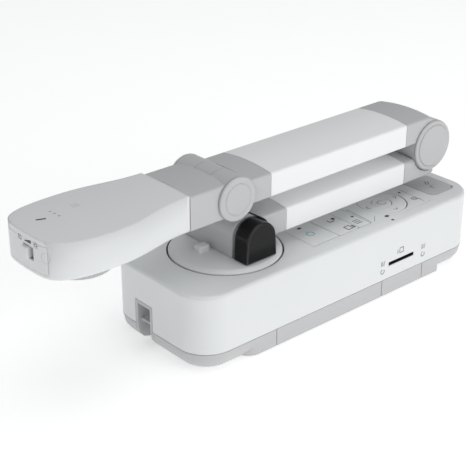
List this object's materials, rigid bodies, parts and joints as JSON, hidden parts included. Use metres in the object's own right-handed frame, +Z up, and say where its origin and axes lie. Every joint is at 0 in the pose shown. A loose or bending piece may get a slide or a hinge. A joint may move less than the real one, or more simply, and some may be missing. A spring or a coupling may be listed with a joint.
{
  "type": "document camera",
  "caption": "Desktop document camera folded flat: weighted base with keys and sockets, turntable, folding arm and a tilting camera head with a focus ring.",
  "frame": {"origin": "on the table, under the middle of the folded camera's overall length and width", "axes": "+X along the base from the camera head towards the elbow, +Y towards the side with the cable sockets, +Z up"},
  "size_m": [0.3672, 0.1, 0.1214],
  "materials": {
    "white_plastic": "moulded, fine satin texture",
    "grey_plastic": "moulded, fine satin texture",
    "dark_grey_plastic": "smooth",
    "black_plastic": "plain moulded",
    "lever_plastic": "polished",
    "foot_rubber": "plain",
    "steel": "plated",
    "frame_aluminium": "die-cast",
    "circuit_board": "solder mask",
    "clear_glass": "polished"
  },
  "bodies": {
    "base": {"lower_case": "grey_plastic", "upper_case": "white_plastic", "foot_1": "foot_rubber", "foot_2": "foot_rubber", "foot_3": "foot_rubber", "foot_4": "foot_rubber", "lock_bezel": "grey_plastic", "control_panel": "white_plastic", "key_board": "circuit_board", "receiver_window": "dark_grey_plastic", "card_socket": "black_plastic", "port_plate": "dark_grey_plastic", "power_inlet": "black_plastic", "usb_socket": "black_plastic", "monitor_socket_out": "black_plastic", "monitor_socket_in": "black_plastic", "main_board": "circuit_board", "ballast_plate": "steel", "swivel_bush": "black_plastic"},
    "power_key": {"power_key": "white_plastic"},
    "source_key": {"source_key": "white_plastic"},
    "freeze_key": {"freeze_key": "white_plastic"},
    "focus_key": {"focus_key": "white_plastic"},
    "menu_key": {"menu_key": "white_plastic"},
    "lamp_key": {"lamp_key": "white_plastic"},
    "arrow_pad": {"arrow_pad": "white_plastic"},
    "enter_key": {"enter_key": "white_plastic"},
    "turntable": {"turntable_disc": "grey_plastic", "hinge_bracket": "grey_plastic", "swivel_retainer": "steel", "lower_hinge_pin": "steel", "hinge_end_cap": "grey_plastic"},
    "arm_lock_lever": {"arm_lock_lever": "lever_plastic"},
    "lower_arm": {"lower_arm_root": "grey_plastic", "lower_arm_sleeve": "white_plastic", "lower_arm_tip": "grey_plastic", "lower_arm_frame": "steel"},
    "elbow_hub": {"elbow_pin": "steel", "elbow_cap_front": "grey_plastic", "elbow_cap_rear": "grey_plastic"},
    "upper_arm": {"upper_arm_root": "grey_plastic", "upper_arm_sleeve": "white_plastic", "upper_arm_tip": "grey_plastic", "upper_arm_frame": "steel"},
    "head": {"head_knuckle": "grey_plastic", "head_pin": "steel", "head_cap_front": "grey_plastic", "head_cap_rear": "grey_plastic", "head_shell": "white_plastic", "head_floor": "white_plastic", "head_frame": "frame_aluminium", "switch_bezel": "white_plastic", "lens_tube": "black_plastic", "lens_glass": "clear_glass", "lamp_lens": "clear_glass", "sensor_board": "circuit_board", "sensor_housing": "black_plastic"},
    "lamp_switch": {"lamp_switch": "white_plastic"},
    "lens_ring": {"lens_ring": "grey_plastic"}
  },
  "joints": [
    {"name": "swivel", "type": "hinge", "parent": "base", "child": "turntable", "pos_m": [-0.0254, 0, 0.057], "axis": [0, 0, 1], "range_deg": [-90, 90]},
    {"name": "arm_lift", "type": "hinge", "parent": "turntable", "child": "lower_arm", "pos_m": [-0.0214, 0, 0.0736], "axis": [0, -1, 0], "range_deg": [0, 90]},
    {"name": "elbow_level", "type": "hinge", "parent": "lower_arm", "child": "elbow_hub", "pos_m": [0.1563, 0, 0.0924], "axis": [0, 1, 0], "range_deg": [0, 90]},
    {"name": "elbow_open", "type": "hinge", "parent": "elbow_hub", "child": "upper_arm", "pos_m": [0.1563, 0, 0.0924], "axis": [0, 1, 0], "range_deg": [0, 60]},
    {"name": "head_tilt", "type": "hinge", "parent": "upper_arm", "child": "head", "pos_m": [-0.0372, 0, 0.1061], "axis": [0, 1, 0], "range_deg": [-25, 65]},
    {"name": "lens_ring_turn", "type": "hinge", "parent": "head", "child": "lens_ring", "pos_m": [-0.1439, 0, 0.0894], "axis": [0, 0, 1], "range_deg": [-90, 90]},
    {"name": "lamp_switch_slide", "type": "slide", "parent": "head", "child": "lamp_switch", "axis": [0, -1, 0], "range_m": [0, 0.003]},
    {"name": "lever_press", "type": "slide", "parent": "turntable", "child": "arm_lock_lever", "axis": [0, 1, 0], "range_m": [0, 0.002], "stiffness_N_per_m": 800, "springref_m": -0.001},
    {"name": "power_press", "type": "slide", "parent": "base", "child": "power_key", "axis": [0, 0, -1], "range_m": [0, 0.0008], "stiffness_N_per_m": 600, "springref_m": -0.0005},
    {"name": "source_press", "type": "slide", "parent": "base", "child": "source_key", "axis": [0, 0, -1], "range_m": [0, 0.0008], "stiffness_N_per_m": 600, "springref_m": -0.0005},
    {"name": "freeze_press", "type": "slide", "parent": "base", "child": "freeze_key", "axis": [0, 0, -1], "range_m": [0, 0.0008], "stiffness_N_per_m": 600, "springref_m": -0.0005},
    {"name": "focus_press", "type": "slide", "parent": "base", "child": "focus_key", "axis": [0, 0, -1], "range_m": [0, 0.0008], "stiffness_N_per_m": 600, "springref_m": -0.0005},
    {"name": "menu_press", "type": "slide", "parent": "base", "child": "menu_key", "axis": [0, 0, -1], "range_m": [0, 0.0008], "stiffness_N_per_m": 600, "springref_m": -0.0005},
    {"name": "lamp_press", "type": "slide", "parent": "base", "child": "lamp_key", "axis": [0, 0, -1], "range_m": [0, 0.0008], "stiffness_N_per_m": 600, "springref_m": -0.0005},
    {"name": "arrow_pad_press", "type": "slide", "parent": "base", "child": "arrow_pad", "axis": [0, 0, -1], "range_m": [0, 0.0008], "stiffness_N_per_m": 600, "springref_m": -0.0005},
    {"name": "enter_press", "type": "slide", "parent": "base", "child": "enter_key", "axis": [0, 0, -1], "range_m": [0, 0.0008], "stiffness_N_per_m": 600, "springref_m": -0.0005}
  ],
  "couplings": [
    {"joint": "elbow_level", "follows": "arm_lift", "ratio": 1}
  ]
}
